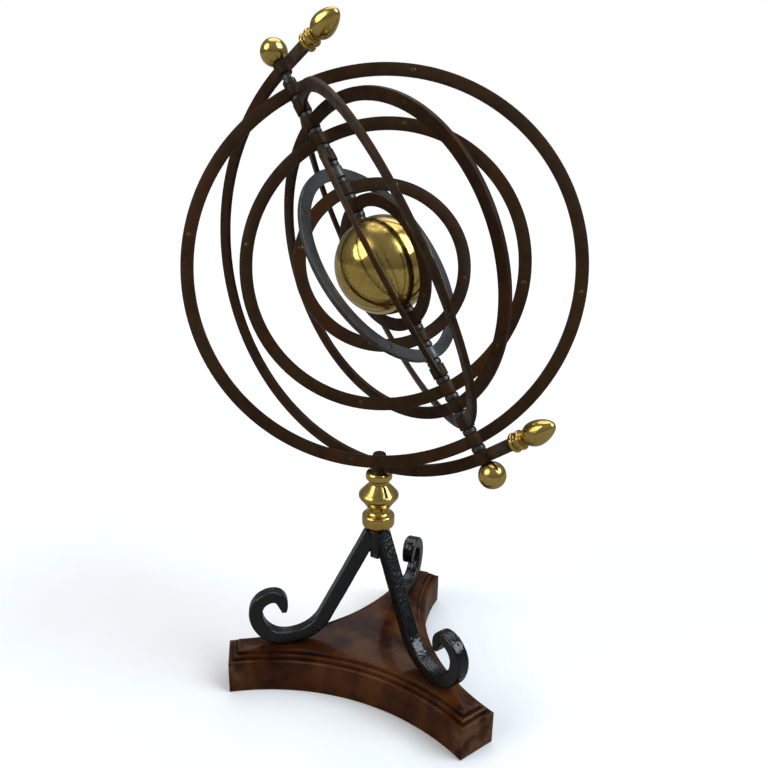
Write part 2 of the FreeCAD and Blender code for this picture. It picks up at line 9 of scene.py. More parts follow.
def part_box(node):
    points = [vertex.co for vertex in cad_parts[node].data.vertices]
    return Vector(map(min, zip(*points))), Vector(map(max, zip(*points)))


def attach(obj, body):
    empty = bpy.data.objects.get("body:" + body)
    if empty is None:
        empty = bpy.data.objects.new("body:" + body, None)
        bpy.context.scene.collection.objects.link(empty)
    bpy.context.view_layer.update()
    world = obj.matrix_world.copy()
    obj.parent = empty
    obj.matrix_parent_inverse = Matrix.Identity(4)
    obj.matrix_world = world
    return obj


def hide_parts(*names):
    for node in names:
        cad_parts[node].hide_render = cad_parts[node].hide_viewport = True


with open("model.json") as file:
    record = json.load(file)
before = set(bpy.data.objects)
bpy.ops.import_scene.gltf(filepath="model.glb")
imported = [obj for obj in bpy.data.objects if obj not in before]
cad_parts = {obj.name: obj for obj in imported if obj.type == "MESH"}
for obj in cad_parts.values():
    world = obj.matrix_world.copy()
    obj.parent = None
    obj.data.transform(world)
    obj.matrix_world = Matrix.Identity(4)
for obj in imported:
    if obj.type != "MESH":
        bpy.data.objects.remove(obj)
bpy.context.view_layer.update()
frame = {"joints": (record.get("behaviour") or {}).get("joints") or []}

mm = 0.001

# the rod's own frame: origin at the globe's centre, Z up the rod
ballJoint = [joint for joint in frame["joints"] if joint["name"] == "ball_spin"][0]
globe = Vector(ballJoint["pos_m"])
rodAxis = Vector(ballJoint["axis"]).normalized()
rodTilt = math.atan2(-rodAxis.x, rodAxis.z)


def onRod(station=0.0, turn=0.0):
    lean = Matrix.Rotation(-rodTilt, 4, "Y")
    spin = Matrix.Rotation(math.radians(turn), 4, "Z")
    return Matrix.Translation(globe) @ lean @ spin @ Matrix.Translation((0, 0, station * mm))


def upright(height, azimuth=0.0, reach=0.0):
    spin = Matrix.Rotation(math.radians(azimuth), 4, "Z")
    return spin @ Matrix.Translation((reach * mm, 0, height * mm))


# shader helpers
def addNode(tree, kind, settings=None, **inputs):
    made = tree.nodes.new(kind)
    for key, value in (settings or {}).items():
        setattr(made, key, value)
    for key, value in inputs.items():
        numbered = key.startswith("in") and key[2:].isdigit()
        socket = made.inputs[int(key[2:]) if numbered else key.replace("_", " ")]
        if isinstance(value, bpy.types.NodeSocket):
            tree.links.new(value, socket)
        else:
            socket.default_value = value
    return made


def colour(red, green, blue):
    return (red, green, blue, 1.0)


def noiseMap(tree, where, scale, detail=4.0, roughness=0.55, stretch=(1, 1, 1), turn=(0, 0, 0)):
    mapped = addNode(tree, "ShaderNodeMapping", Vector=where, Scale=stretch, Rotation=turn)
    made = addNode(tree, "ShaderNodeTexNoise", Vector=mapped.outputs[0], Scale=scale, Detail=detail,
                   Roughness=roughness)
    return made.outputs["Fac"]


def spread(tree, value, low, high, toLow=0.0, toHigh=1.0):
    made = addNode(tree, "ShaderNodeMapRange", {"interpolation_type": "SMOOTHSTEP"}, in0=value, in1=low,
                   in2=high, in3=toLow, in4=toHigh)
    return made.outputs[0]


def mixed(tree, share, first, second):
    made = addNode(tree, "ShaderNodeMix", {"data_type": "RGBA"})
    for socket, value in ((made.inputs[0], share), (made.inputs[6], first), (made.inputs[7], second)):
        if isinstance(value, bpy.types.NodeSocket):
            tree.links.new(value, socket)
        else:
            socket.default_value = value
    return made.outputs[2]


def combined(tree, operation, first, second, third=None):
    settings = {"operation": operation}
    inputs = {"in0": first, "in1": second}
    if third is not None:
        inputs["in2"] = third
    return addNode(tree, "ShaderNodeMath", settings, **inputs).outputs[0]


def newGroup(name, inputs, outputs):
    group = bpy.data.node_groups.new(name, "ShaderNodeTree")
    for label, kind, value in inputs:
        socket = group.interface.new_socket(label, in_out="INPUT", socket_type=kind)
        if value is not None:
            socket.default_value = value
    for label, kind in outputs:
        group.interface.new_socket(label, in_out="OUTPUT", socket_type=kind)
    return group, group.nodes.new("NodeGroupInput"), group.nodes.new("NodeGroupOutput")


# rubbed edges: convex corners, broken up by noise
def makeEdgeWear():
    group, given, result = newGroup("edgeWear", [
        ("Vector", "NodeSocketVector", None), ("Sharpness", "NodeSocketFloat", 0.53),
        ("Breakup", "NodeSocketFloat", 60.0)], [("Mask", "NodeSocketFloat")])
    geometry = group.nodes.new("ShaderNodeNewGeometry")
    over = combined(group, "SUBTRACT", geometry.outputs["Pointiness"], given.outputs["Sharpness"])
    edge = spread(group, over, 0.0, 0.05)
    broken = addNode(group, "ShaderNodeTexNoise", Vector=given.outputs["Vector"],
                     Scale=given.outputs["Breakup"], Detail=3.0)
    patchy = spread(group, broken.outputs["Fac"], 0.35, 0.65)
    group.links.new(combined(group, "MULTIPLY", edge, patchy), result.inputs[0])
    return group


# cloudy blotches of two sizes, from 0 to 1
def makeBlotches():
    group, given, result = newGroup("blotches", [
        ("Vector", "NodeSocketVector", None), ("Large", "NodeSocketFloat", 12.0),
        ("Small", "NodeSocketFloat", 90.0)], [("Mask", "NodeSocketFloat")])
    large = addNode(group, "ShaderNodeTexNoise", Vector=given.outputs["Vector"],
                    Scale=given.outputs["Large"], Detail=3.0)
    small = addNode(group, "ShaderNodeTexNoise", Vector=given.outputs["Vector"],
                    Scale=given.outputs["Small"], Detail=5.0)
    both = combined(group, "MULTIPLY_ADD", small.outputs["Fac"], 0.45,
                    combined(group, "MULTIPLY", large.outputs["Fac"], 0.55))
    group.links.new(spread(group, both, 0.36, 0.64), result.inputs[0])
    return group


# fine random scratches as a height
def makeScratches():
    group, given, result = newGroup("scratches", [
        ("Vector", "NodeSocketVector", None), ("Scale", "NodeSocketFloat", 300.0)],
        [("Height", "NodeSocketFloat")])
    first = noiseMap(group, given.outputs["Vector"], 1.0, 2.0)
    turned = []
    for angle in (0.4, 1.9):
        spun = addNode(group, "ShaderNodeMapping", Vector=given.outputs["Vector"],
                       Rotation=(angle, angle, 0.7), Scale=(1.0, 0.06, 1.0))
        streaks = addNode(group, "ShaderNodeTexNoise", Vector=spun.outputs[0], Scale=given.outputs["Scale"],
                          Detail=2.0)
        turned.append(spread(group, streaks.outputs["Fac"], 0.60, 0.72))
    strongest = combined(group, "MAXIMUM", turned[0], turned[1])
    group.links.new(combined(group, "MULTIPLY_ADD", first, 0.2, strongest), result.inputs[0])
    return group


edgeWear = makeEdgeWear()
blotches = makeBlotches()
scratches = makeScratches()


def useGroup(tree, group, **inputs):
    made = tree.nodes.new("ShaderNodeGroup")
    made.node_tree = group
    for key, value in inputs.items():
        if isinstance(value, bpy.types.NodeSocket):
            tree.links.new(value, made.inputs[key])
        else:
            made.inputs[key].default_value = value
    return made.outputs[0]


def newFinish(name, **fixed):
    material = bpy.data.materials.new(name)
    material.use_nodes = True
    tree = material.node_tree
    surface = tree.nodes["Principled BSDF"]
    for key, value in fixed.items():
        surface.inputs[key.replace("_", " ")].default_value = value
    where = tree.nodes.new("ShaderNodeTexCoord").outputs["Object"]
    return material, tree, surface, where


def setBump(tree, surface, height, depth, strength=1.0):
    bump = addNode(tree, "ShaderNodeBump", Height=height, Distance=depth, Strength=strength)
    tree.links.new(bump.outputs[0], surface.inputs["Normal"])


# dark patinated iron of the rings and the arm; one variant has a painted sheen, grey-blue patches of
# reflected cool light painted into its colour
ironValues = {
    "brown": dict(base=colour(0.025, 0.0100, 0.0028), patchAndSheen=colour(0.042, 0.0215, 0.0078),
                  rust=colour(0.060, 0.018, 0.004), rub=colour(0.15, 0.12, 0.09),
                  roughness=0.38, gloss=0.10),
    "steel": dict(base=colour(0.018, 0.014, 0.010), patchAndSheen=colour(0.034, 0.028, 0.021),
                  rust=colour(0.036, 0.018, 0.008), rub=colour(0.14, 0.14, 0.14),
                  roughness=0.30, gloss=0.5),
    # this variant's grey-blue patch colour is a painted sheen, a reflection of cool light painted into the
    # iron
    "bluish": dict(base=colour(0.022, 0.014, 0.009), patchAndSheen=colour(0.060, 0.062, 0.062),
                   rust=colour(0.045, 0.026, 0.014), rub=colour(0.24, 0.25, 0.26),
                   roughness=0.30, gloss=0.55),
}


def makeIron(name, values):
    material, tree, surface, where = newFinish(name, Specular_IOR_Level=values["gloss"])
    cloudy = useGroup(tree, blotches, Vector=where, Large=14.0, Small=110.0)
    reddish = spread(tree, noiseMap(tree, where, 22.0, 6.0), 0.52, 0.66)
    worn = useGroup(tree, edgeWear, Vector=where, Sharpness=0.52, Breakup=70.0)
    # patch colour: real patina tone in the brown and steel irons, painted grey-blue sheen in the sheen
    # variant
    body = mixed(tree, cloudy, values["base"], values["patchAndSheen"])
    body = mixed(tree, combined(tree, "MULTIPLY", reddish, 0.6), body, values["rust"])
    body = mixed(tree, combined(tree, "MULTIPLY", worn, 0.7), body, values["rub"])
    tree.links.new(body, surface.inputs["Base Color"])
    rough = spread(tree, cloudy, 0.0, 1.0, values["roughness"] + 0.12, values["roughness"] - 0.06)
    tree.links.new(rough, surface.inputs["Roughness"])
    tree.links.new(combined(tree, "MULTIPLY", worn, 0.5), surface.inputs["Metallic"])
    pits = noiseMap(tree, where, 420.0, 6.0, 0.65)
    dents = noiseMap(tree, where, 70.0, 3.0)
    setBump(tree, surface, combined(tree, "MULTIPLY_ADD", dents, 2.0, pits), 0.00022, 0.8)
    return material


# gloss black paint over hammered iron
def makePaintedIron():
    material, tree, surface, where = newFinish("glossBlackIron", Specular_IOR_Level=0.5)
    dusty = useGroup(tree, blotches, Vector=where, Large=18.0, Small=140.0)
    worn = useGroup(tree, edgeWear, Vector=where, Sharpness=0.54, Breakup=160.0)
    body = mixed(tree, dusty, colour(0.0010, 0.0012, 0.0012), colour(0.0026, 0.0031, 0.0030))
    body = mixed(tree, combined(tree, "MULTIPLY", worn, 0.25), body, colour(0.03, 0.03, 0.03))
    tree.links.new(body, surface.inputs["Base Color"])
    tree.links.new(spread(tree, dusty, 0.0, 1.0, 0.13, 0.26), surface.inputs["Roughness"])
    cells = addNode(tree, "ShaderNodeTexVoronoi", {"feature": "SMOOTH_F1"}, Vector=where, Scale=330.0,
                    Smoothness=0.5)
    grain = noiseMap(tree, where, 420.0, 4.0, 0.55)
    hammered = combined(tree, "MULTIPLY_ADD", grain, 0.4, cells.outputs["Distance"])
    setBump(tree, surface, hammered, 0.0005, 0.6)
    return material


# polished brass with light tarnish
brassValues = {
    "bright": dict(clean=colour(0.66, 0.47, 0.135), dull=colour(0.40, 0.275, 0.070),
                   spot=colour(0.10, 0.06, 0.02), rough=(0.09, 0.26), share=0.6),
    "dull": dict(clean=colour(0.16, 0.088, 0.028), dull=colour(0.07, 0.036, 0.012),
                 spot=colour(0.04, 0.02, 0.008), rough=(0.32, 0.5), share=1.0),
}


def makeBrass(name, values):
    material, tree, surface, where = newFinish(name, Metallic=1.0)
    cloudy = useGroup(tree, blotches, Vector=where, Large=30.0, Small=260.0)
    tarnish = combined(tree, "MULTIPLY", cloudy, values["share"])
    spots = spread(tree, noiseMap(tree, where, 330.0, 2.0), 0.68, 0.74)
    body = mixed(tree, tarnish, values["clean"], values["dull"])
    body = mixed(tree, combined(tree, "MULTIPLY", spots, 0.6), body, values["spot"])
    tree.links.new(body, surface.inputs["Base Color"])
    tree.links.new(spread(tree, cloudy, 0.0, 1.0, *values["rough"]), surface.inputs["Roughness"])
    fine = useGroup(tree, scratches, Vector=where, Scale=420.0)
    wavy = noiseMap(tree, where, 55.0, 2.0)
    setBump(tree, surface, combined(tree, "MULTIPLY_ADD", wavy, 6.0, fine), 0.00006, 0.5)
    return material


# french-polished mahogany; the grain lies level, turned from X by grainTurn
woodValues = {"dark": colour(0.013, 0.0021, 0.0004), "middle": colour(0.047, 0.0105, 0.0018),
              "light": colour(0.125, 0.041, 0.010), "grainTurn": 24.0}


def makeMahogany():
    material, tree, surface, where = newFinish("polishedMahogany", Specular_IOR_Level=0.10, Coat_Weight=0.10,
                                                Coat_Roughness=0.06)
    turn = (0, 0, math.radians(woodValues["grainTurn"]))
    grain = noiseMap(tree, where, 34.0, 7.0, 0.62, stretch=(0.16, 1.0, 1.0), turn=turn)
    pores = noiseMap(tree, where, 900.0, 2.0, 0.5, stretch=(0.05, 1.0, 1.0), turn=turn)
    figure = noiseMap(tree, where, 26.0, 3.0, 0.5, stretch=(1.0, 0.8, 0.25), turn=turn)
    streaks = spread(tree, grain, 0.36, 0.64)
    body = mixed(tree, streaks, woodValues["dark"], woodValues["middle"])
    body = mixed(tree, combined(tree, "MULTIPLY", spread(tree, figure, 0.40, 0.70), 0.65), body,
                 woodValues["light"])
    open_ = spread(tree, pores, 0.60, 0.70)
    body = mixed(tree, combined(tree, "MULTIPLY", open_, 0.45), body, woodValues["dark"])
    worn = useGroup(tree, edgeWear, Vector=where, Sharpness=0.53, Breakup=60.0)
    body = mixed(tree, combined(tree, "MULTIPLY", worn, 0.4), body, colour(0.22, 0.11, 0.05))
    tree.links.new(body, surface.inputs["Base Color"])
    tree.links.new(spread(tree, figure, 0.3, 0.7, 0.36, 0.26), surface.inputs["Roughness"])
    setBump(tree, surface, combined(tree, "MULTIPLY_ADD", open_, -1.0, grain), 0.0002, 0.35)
    return material


finishes = {
    "brownIron": makeIron("patinatedIron", ironValues["brown"]),
    "darkSteel": makeIron("darkSteel", ironValues["steel"]),
    "bluishIron": makeIron("bluishIron", ironValues["bluish"]),
    "blackIron": makePaintedIron(),
    "brass": makeBrass("polishedBrass", brassValues["bright"]),
    "rivetBrass": makeBrass("rivetBrass", brassValues["dull"]),
    "mahogany": makeMahogany(),
}
print("materials made")


# mesh helpers
def addPiece(name, points, edges, faces):
    mesh = bpy.data.meshes.new(name)
    mesh.from_pydata(points, edges, faces)
    piece = bpy.data.objects.new(name, mesh)
    bpy.context.scene.collection.objects.link(piece)
    return piece


# apply the stack, put the mesh in place, turn it outwards and smooth it up to the given angle
def settle(piece, place=None, smoothAngle=34.0):
    bpy.context.view_layer.update()
    held = piece.evaluated_get(bpy.context.evaluated_depsgraph_get())
    mesh = bpy.data.meshes.new_from_object(held)
    piece.modifiers.clear()
    piece.data = mesh
    if place is not None:
        mesh.transform(place)
    work = bmesh.new()
    work.from_mesh(mesh)
    if work.calc_volume(signed=True) < 0:
        bmesh.ops.reverse_faces(work, faces=work.faces[:])
    work.to_mesh(mesh)
    work.free()
    mesh.shade_smooth()
    mesh.set_sharp_from_angle(angle=math.radians(smoothAngle))
    return piece


def joined(name, parts):
    work = bmesh.new()
    for part in parts:
        work.from_mesh(part.data)
    mesh = bpy.data.meshes.new(name)
    work.to_mesh(mesh)
    work.free()
    for part in parts:
        bpy.data.objects.remove(part)
    piece = bpy.data.objects.new(name, mesh)
    bpy.context.scene.collection.objects.link(piece)
    return piece


def paint(piece, *names):
    piece.data.materials.clear()
    for name in names:
        piece.data.materials.append(finishes[name])


def useSlot(piece, number):
    for face in piece.data.polygons:
        face.material_index = number
    return piece


def stand(piece, body, slot, *nodes):
    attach(piece, body)
    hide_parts(*nodes)


# corners (radius, height, rounding) in millimetres become a line whose corners are arcs
def roundedLine(corners, closed=False, arcSteps=7):
    line = []
    count = len(corners)
    for index, (across, along, rounding) in enumerate(corners):
        here = Vector((across, along))
        loose = not closed and index in (0, count - 1)
        if loose or rounding <= 0:
            line.append(here)
            continue
        back = Vector(corners[index - 1][:2]) - here
        ahead = Vector(corners[(index + 1) % count][:2]) - here
        bend = back.angle(ahead)
        cut = min(rounding / math.tan(bend / 2), 0.495 * back.length, 0.495 * ahead.length)
        centre = here + (back.normalized() + ahead.normalized()).normalized() * (cut / math.cos(bend / 2))
        start = here + back.normalized() * cut - centre
        end = here + ahead.normalized() * cut - centre
        turn = math.atan2(start.x * end.y - start.y * end.x, start.dot(end))
        for step in range(arcSteps + 1):
            angle = turn * step / arcSteps
            line.append(centre + Matrix.Rotation(angle, 2) @ start)
    return line


def arcLine(centre, radius, fromAngle, toAngle, steps):
    line = []
    for step in range(steps + 1):
        angle = math.radians(fromAngle + (toAngle - fromAngle) * step / steps)
        line.append(Vector((centre[0] + radius * math.sin(angle), centre[1] + radius * math.cos(angle))))
    return line


# a profile at +X, top to bottom, turned about Z
def turned(name, line, steps=72, closed=False):
    points = [(max(point.x, 0.0) * mm, 0.0, point.y * mm) for point in line]
    edges = [(index, index + 1) for index in range(len(points) - 1)]
    if closed:
        edges.append((len(points) - 1, 0))
    piece = addPiece(name, points, edges, [])
    screw = piece.modifiers.new("turn", "SCREW")
    screw.steps = steps
    screw.render_steps = steps
    screw.use_merge_vertices = True
    screw.merge_threshold = 1e-6
    return piece


def bevelEdges(piece, width, segments=3, angle=40.0):
    bevel = piece.modifiers.new("roundEdges", "BEVEL")
    bevel.width = width * mm
    bevel.segments = segments
    bevel.limit_method = "ANGLE"
    bevel.angle_limit = math.radians(angle)
    return bevel


# a tube of section loops: each station is (centre, first axis, second axis), the axes scaled to the section
def sweep(name, stations, section):
    points = []
    for centre, first, second in stations:
        points += [(centre + first * across + second * along) * mm for across, along in section]
    size = len(section)
    faces = [tuple(reversed(range(size)))]
    for loop in range(len(stations) - 1):
        for index in range(size):
            after = (index + 1) % size
            low = loop * size
            faces.append((low + index, low + after, low + size + after, low + size + index))
    faces.append(tuple(range(len(points) - size, len(points))))
    return addPiece(name, points, [], faces)


# bored tube with rounded ends, on Z from low to high
def tube(name, bore, radius, low, high, rounding, steps=56):
    line = roundedLine([(bore, high, 0.15), (radius, high, rounding), (radius, low, rounding),
                        (bore, low, 0.15)], closed=True, arcSteps=4)
    return turned(name, line, steps, closed=True)


# wooden base
base = {"turn": -16.4, "reach": 170.0, "sideRadius": 245.0, "sideCentre": 308.5, "sideSteps": 30,
        "profile": [(0.9, 0.0), (0.0, 0.9), (0.0, 36.9), (0.35, 37.7), (1.3, 38.1), (4.6, 38.1),
                    (5.0, 37.4), (5.5, 37.4), (5.5, 41.2), (5.8, 42.0), (6.5, 42.5), (9.6, 42.6),
                    (10.0, 41.9), (10.5, 41.9), (10.5, 45.6), (10.9, 46.6), (11.9, 47.0)]}


def baseOutline(inset):
    reach = base["reach"] - inset
    radius = base["sideRadius"] + inset
    toCentre = math.radians(60)
    centre = Vector((base["sideCentre"] * math.cos(toCentre), base["sideCentre"] * math.sin(toCentre)))
    half = centre.y - math.sqrt(radius ** 2 - (reach - centre.x) ** 2)
    start = Vector((reach, half)) - centre
    mirrored = Matrix.Rotation(math.radians(120), 2) @ Vector((reach, -half)) - centre
    turn = math.atan2(start.x * mirrored.y - start.y * mirrored.x, start.dot(mirrored))
    loop = []
    for side in range(3):
        spin = Matrix.Rotation(math.radians(base["turn"] + 120 * side), 2)
        for step in range(base["sideSteps"] + 1):
            angle = turn * step / base["sideSteps"]
            loop.append(spin @ (centre + Matrix.Rotation(angle, 2) @ start))
    return loop


def makeBase():
    points = []
    for inset, height in base["profile"]:
        points += [(point.x * mm, point.y * mm, height * mm) for point in baseOutline(inset)]
    size = 3 * (base["sideSteps"] + 1)
    levels = len(base["profile"])
    faces = [tuple(reversed(range(size)))]
    for level in range(levels - 1):
        for index in range(size):
            after = (index + 1) % size
            low = level * size
            faces.append((low + index, low + after, low + size + after, low + size + index))
    faces.append(tuple(range((levels - 1) * size, levels * size)))
    piece = settle(addPiece("mahogany_base", points, [], faces), smoothAngle=28.0)
    paint(piece, "mahogany")
    stand(piece, "stand", "mahogany", "wooden_base")


makeBase()
print("base made")

# scroll legs: a square bar bent, tapered and hammered
leg = {"bar": 15.3, "slope": 62.5, "start": 196.4, "top": 186.3, "sweep": 50.6, "scroll": 33.6, "curl": 20.7,
       "crown": 13.2, "tipWidth": 12.0, "tipThickness": 4.6, "tipSteps": 14, "floor": 47.0, "step": 2.4,
       "tipHandles": ((-7.2, 0.0), (-10.9, -8.6), (-11.4, -21.6)), "hubLoops": 20, "hubReach": 11.2,
       "cornerCut": 0.09,
       "dent": 0.22, "dentSize": 3.4, "ripple": 0.5, "rippleSize": 26.0, "middleLevel": 0.45}


# centre line of a leg in its own plane: (point, direction, thickness, width)
def legLine():
    slope = math.radians(leg["slope"])
    low = leg["floor"] + leg["bar"] / 2
    drop = leg["start"] - low - leg["sweep"] * (1 - math.cos(slope))
    start = Vector((0, leg["start"]))
    bend = Vector((drop / math.tan(slope), leg["start"] - drop))
    foot = Vector((bend.x + leg["sweep"] * math.sin(slope), low))
    line = []
    steps = int((bend - start).length / leg["step"])
    for index in range(steps):
        line.append((start.lerp(bend, index / steps), -slope, leg["bar"], leg["bar"]))
    arcs = ((foot + Vector((0, leg["sweep"])), leg["sweep"], -slope, 0.0, leg["bar"], leg["bar"]),
            (foot + Vector((0, leg["scroll"])), leg["scroll"], 0.0, math.pi / 2, leg["bar"], leg["bar"]),
            (foot + Vector((leg["scroll"] - leg["curl"], leg["scroll"])), leg["curl"], math.pi / 2, math.pi,
             leg["bar"], leg["crown"]))
    for centre, radius, fromAngle, toAngle, thick, thin in arcs:
        steps = int(radius * (toAngle - fromAngle) / leg["step"])
        for index in range(steps):
            share = index / steps
            heading = fromAngle + (toAngle - fromAngle) * share
            point = centre + Vector((math.sin(heading), -math.cos(heading))) * radius
            line.append((point, heading, thick + (thin - thick) * share, leg["bar"]))
    crown = arcs[2][0] + Vector((0, leg["curl"]))
    handles = [crown] + [crown + Vector(shift) for shift in leg["tipHandles"]]
    steps = leg["tipSteps"]
    for index in range(steps + 1):
        share = index / steps
        rest = 1 - share
        point = (handles[0] * rest ** 3 + handles[1] * 3 * rest ** 2 * share
                 + handles[2] * 3 * rest * share ** 2 + handles[3] * share ** 3)
        along = ((handles[1] - handles[0]) * rest ** 2 + (handles[2] - handles[1]) * 2 * rest * share
                 + (handles[3] - handles[2]) * share ** 2)
        heading = math.atan2(along.y, along.x) % (2 * math.pi)
        fade = share ** 4
        line.append((point, heading, leg["crown"] + (leg["tipThickness"] - leg["crown"]) * fade,
                     leg["bar"] + (leg["tipWidth"] - leg["bar"]) * share ** 1.5))
    return line


# a square with cut corners, four points to a side
def barSection():
    cut = leg["cornerCut"]
    quarter = [(0.5, -0.5 + cut), (0.5, -0.5 + 2.2 * cut), (0.5, 0.5 - 2.2 * cut), (0.5, 0.5 - cut)]
    section = []
    for side in range(4):
        spin = Matrix.Rotation(math.radians(90 * side), 2)
        section += [tuple(spin @ Vector(point)) for point in quarter]
    return section


def hammerTexture(name, kind, scale):
    texture = bpy.data.textures.new(name, kind)
    texture.noise_scale = scale * mm
    return texture


# the bar's upper end stops on the hub and is mitred level under the stem
def meetHub(piece, size):
    slope = math.tan(math.radians(leg["slope"]))
    loops = leg["hubLoops"]
    for index in range(size):
        far = piece.data.vertices[loops * size + index].co.copy()
        atHub = math.sqrt((leg["hubReach"] * mm) ** 2 - far.y ** 2)
        atTop = far.x - (leg["top"] * mm - far.z) / slope
        near = max(atHub, atTop)
        for loop in range(loops):
            across = near + (far.x - near) * (loop / loops) ** 1.5
            moved = piece.data.vertices[loop * size + index]
            moved.co = (across, far.y, far.z + (far.x - across) * slope)


def makeLeg(name, azimuth):
    stations = []
    for point, heading, thickness, width in legLine():
        centre = Vector((point.x, 0, point.y))
        normal = Vector((-math.sin(heading), 0, math.cos(heading))) * thickness
        stations.append((centre, normal, Vector((0, -width, 0))))
    section = barSection()
    piece = sweep(name, stations, section)
    meetHub(piece, len(section))
    piece = settle(piece, upright(0, azimuth))
    smooth = piece.modifiers.new("smooth", "SUBSURF")
    smooth.levels = 2
    smooth.render_levels = 2
    for label, kind, depth, scale in (("dents", "VORONOI", leg["dent"], leg["dentSize"]),
                                      ("ripple", "CLOUDS", leg["ripple"], leg["rippleSize"])):
        push = piece.modifiers.new(label, "DISPLACE")
        push.texture = hammerTexture(name + "_" + label, kind, scale)
        push.texture_coords = "LOCAL"
        push.strength = depth * mm
        push.mid_level = leg["middleLevel"]
    for face in piece.data.polygons:
        face.use_smooth = True
    paint(piece, "blackIron")
    stand(piece, "stand", "wrought_iron", name)
    return piece


def makeLegs():
    for index, node in enumerate(("leg_front", "leg_rear", "leg_left")):
        piece = makeLeg(node, base["turn"] + 120 * index)
        piece.name = "scroll_" + node


makeLegs()
print("legs made")

# hub, nuts, tie rod and screws
hub = {"radius": 12.0, "low": 160.1, "high": 186.4, "nutCircle": 9.2, "nutHeight": 8.0, "tieRadius": 4.0,
       "tieLow": 149.0, "tieHigh": 272.4, "pitch": 1.25, "threadDepth": 0.55, "threads": 2}
screwSizes = {"reach": 104.8, "head": 6.0, "headLow": 10.0, "seat": 14.0, "shank": 3.0, "tip": 56.0,
              "recess": 1.6}


def threadedEnd(radius, low, count):
    line = []
    for index in range(count, 0, -1):
        height = low + 0.5 + index * hub["pitch"]
        line += [Vector((radius, height)), Vector((radius - hub["threadDepth"], height - hub["pitch"] / 2))]
    return line


def makeHub():
    body = settle(tube("forged_hub", hub["tieRadius"], hub["radius"], hub["low"], hub["high"], 1.6))
    paint(body, "blackIron")
    stand(body, "stand", "wrought_iron", "leg_hub")

    nutLow = hub["low"] - hub["nutHeight"]
    nut = tube("hex_nut", hub["tieRadius"] + 0.7, hub["nutCircle"], nutLow, hub["low"] - 0.02, 0.5, steps=6)
    bevelEdges(nut, 0.35, 2)
    nut = settle(nut, smoothAngle=25.0)
    paint(nut, "darkSteel")
    stand(nut, "stand", "dark_steel", "hub_nut")

    low, high, radius = hub["tieLow"], hub["tieHigh"], hub["tieRadius"]
    line = [Vector((0, high)), Vector((radius - 0.5, high)), Vector((radius, high - 0.5))]
    line += threadedEnd(radius, low, hub["threads"])
    line += [Vector((radius - 0.1, low + 0.6)), Vector((radius - 0.7, low)), Vector((0, low))]
    rod = settle(turned("threaded_tie_rod", line, 40))
    paint(rod, "darkSteel")
    stand(rod, "stand", "dark_steel", "tie_rod")

    shank, head, recess = screwSizes["shank"], screwSizes["head"], screwSizes["recess"]
    tip, seat, bottom = screwSizes["tip"], screwSizes["seat"], screwSizes["headLow"]
    line = roundedLine([(0, tip, 0), (shank - 1.2, tip, 0), (shank, tip - 2.0, 0.4), (shank, seat, 0.2),
                        (head, seat, 0.2), (head, bottom, 1.4), (recess, bottom, 0),
                        (recess, bottom + 1.6, 0), (0, bottom + 1.6, 0)], arcSteps=4)
    screws = []
    for index in range(3):
        screw = turned("screw", line, 32)
        screws.append(settle(screw, upright(0, base["turn"] + 120 * index, screwSizes["reach"])))
    group = joined("base_screws", screws)
    paint(group, "darkSteel")
    stand(group, "stand", "dark_steel", "leg_screws")


makeHub()

# turned brass stem, washer and cap nut
stem = {"base": 186.5, "bore": 4.3, "height": 68.6,
        "corners": [(8.5, 68.6, 0.6), (13.2, 68.6, 1.2), (14.6, 66.6, 2.6), (14.6, 61.4, 2.6),
                    (12.4, 58.9, 1.0), (10.4, 57.2, 1.6), (11.4, 54.6, 3.0), (20.6, 44.8, 1.6),
                    (22.0, 42.6, 2.0), (22.0, 39.4, 2.0), (20.4, 37.0, 2.2), (15.4, 30.8, 0.4),
                    (15.0, 29.9, 0.3), (13.6, 29.4, 0.5), (11.6, 22.2, 3.4), (13.4, 20.0, 0.8),
                    (18.1, 18.0, 6.0), (18.1, 5.4, 6.0), (13.8, 2.4, 1.2), (12.4, 0.0, 0.4)],
        "washer": 8.5, "washerLow": 255.1, "washerHigh": 256.6}
capNut = {"radius": 7.3, "height": 8.2, "shoulder": 5.6, "thread": 3.6}


def makeStem():
    corners = [(stem["bore"], stem["height"], 0)] + stem["corners"] + [(stem["bore"], 0.0, 0)]
    piece = settle(turned("turned_stem", roundedLine(corners, closed=True, arcSteps=6), 96, closed=True),
                   upright(stem["base"]), 30.0)
    paint(piece, "brass")
    stand(piece, "stand", "brass", "brass_stem")
    washer = settle(tube("flat_washer", stem["bore"], stem["washer"], stem["washerLow"],
                         stem["washerHigh"], 0.4))
    paint(washer, "darkSteel")
    stand(washer, "stand", "dark_steel", "stem_washer")
    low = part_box("cap_nut")[0].z / mm
    high = low + capNut["height"]
    line = roundedLine([(0, high, 0), (4.2, high - 0.1, 4.0), (6.6, high - 1.2, 1.6),
                        (capNut["radius"], low + capNut["shoulder"], 1.0), (capNut["radius"], low, 0.5),
                        (hub["tieRadius"], low, 0), (hub["tieRadius"], low + capNut["thread"], 0),
                        (0, low + capNut["thread"], 0)])
    cap = settle(turned("domed_cap_nut", line, 56))
    paint(cap, "brownIron")
    stand(cap, "stand", "dark_steel", "cap_nut")


makeStem()
print("stem made")

# half-ring arm with its bosses
arm = {"inner": 212.7, "outer": 225.4, "rise": 3.175, "overhang": 38.0, "thickness": 4.8, "edge": 0.7,
       "boss": 7.94, "bossLength": 12.7, "bore": 4.8, "swivelBore": 4.07, "clear": 6.0, "spanSteps": 70}


def bandStation(point, outward):
    return (point, outward * (arm["outer"] - arm["inner"]), Vector((0, arm["thickness"], 0)))


